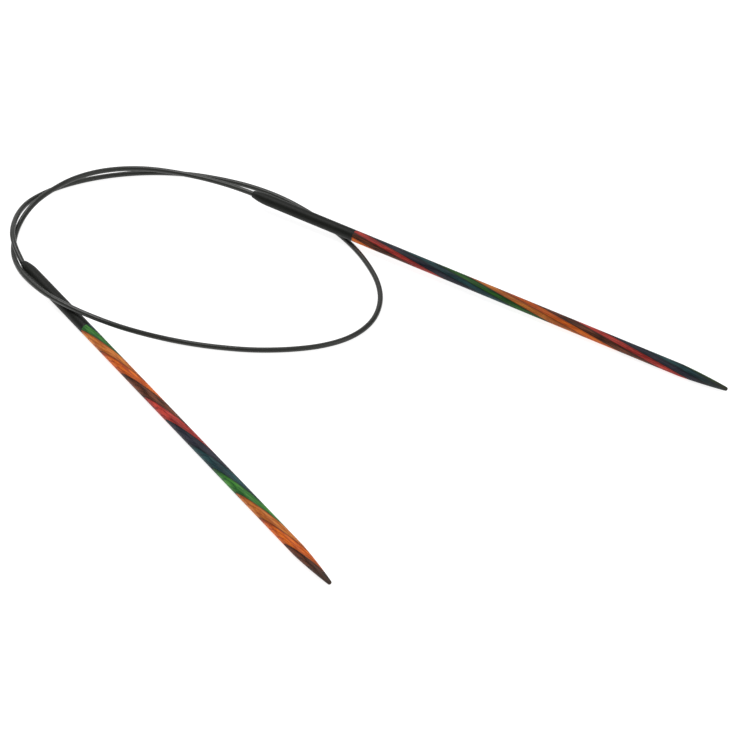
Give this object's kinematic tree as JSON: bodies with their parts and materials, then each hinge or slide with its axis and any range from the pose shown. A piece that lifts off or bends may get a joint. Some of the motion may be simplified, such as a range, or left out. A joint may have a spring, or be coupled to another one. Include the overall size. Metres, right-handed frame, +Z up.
{
  "type": "circular knitting needle",
  "caption": "Fixed circular knitting needle: two pointed laminated-wood needles in black ferrules, joined by a thin flexible cable that lies in a loop.",
  "frame": {"origin": "on the surface it lies on, under the middle of the box round the two needles", "axes": "+Z up; +X along the longer side of the needles' box, from the loop towards the right needle's tip; +Y from the tips towards the loop"},
  "size_m": [0.1737, 0.1491, 0.0073],
  "materials": {
    "birch_green": "dyed birch, satin lacquer",
    "birch_orange": "dyed birch, satin lacquer",
    "birch_amber": "dyed birch, satin lacquer",
    "birch_brown": "dyed birch, satin lacquer",
    "birch_red": "dyed birch, satin lacquer",
    "birch_navy": "dyed birch, satin lacquer",
    "birch_teal": "dyed birch, satin lacquer",
    "black_metal": "matte black anodised",
    "cable_nylon": "soft sheen",
    "brass": "turned"
  },
  "bodies": {
    "cable": {"cable": "cable_nylon"},
    "left_end": {"left_cable_end": "cable_nylon", "left_cable_stop": "brass"},
    "left_needle": {"left_ferrule": "black_metal", "left_ply_01_navy": "birch_navy", "left_ply_02_teal": "birch_teal", "left_ply_03_green": "birch_green", "left_ply_04_orange": "birch_orange", "left_ply_05_amber": "birch_amber", "left_ply_06_brown": "birch_brown", "left_ply_07_red": "birch_red", "left_ply_08_navy": "birch_navy", "left_ply_09_teal": "birch_teal", "left_ply_10_green": "birch_green", "left_ply_11_orange": "birch_orange", "left_ply_12_amber": "birch_amber", "left_ply_13_brown": "birch_brown"},
    "right_end": {"right_cable_end": "cable_nylon", "right_cable_stop": "brass"},
    "right_needle": {"right_ferrule": "black_metal", "right_ply_01_amber": "birch_amber", "right_ply_02_brown": "birch_brown", "right_ply_03_red": "birch_red", "right_ply_04_navy": "birch_navy", "right_ply_05_teal": "birch_teal", "right_ply_06_green": "birch_green", "right_ply_07_orange": "birch_orange", "right_ply_08_amber": "birch_amber", "right_ply_09_brown": "birch_brown", "right_ply_10_red": "birch_red", "right_ply_11_navy": "birch_navy", "right_ply_12_teal": "birch_teal", "right_ply_13_green": "birch_green"}
  },
  "joints": [
    {"name": "left_flex", "type": "hinge", "parent": "cable", "child": "left_end", "pos_m": [-0.08463, 0.04255, 0.0015], "axis": [0, 0, 1], "range_deg": [-2, 6], "stiffness_Nm_per_rad": 0.005},
    {"name": "left_swivel", "type": "hinge", "parent": "left_end", "child": "left_needle", "pos_m": [-0.08411, 0.04181, 0.0015], "axis": [0.5753, -0.8179, 0], "continuous": true},
    {"name": "right_flex", "type": "hinge", "parent": "cable", "child": "right_end", "pos_m": [-0.02897, 0.06753, 0.00399], "axis": [0, 0, 1], "range_deg": [-12, 30], "stiffness_Nm_per_rad": 0.005},
    {"name": "right_swivel", "type": "hinge", "parent": "right_end", "child": "right_needle", "pos_m": [-0.02821, 0.06705, 0.00397], "axis": [0.8438, -0.5363, -0.0202], "continuous": true}
  ]
}
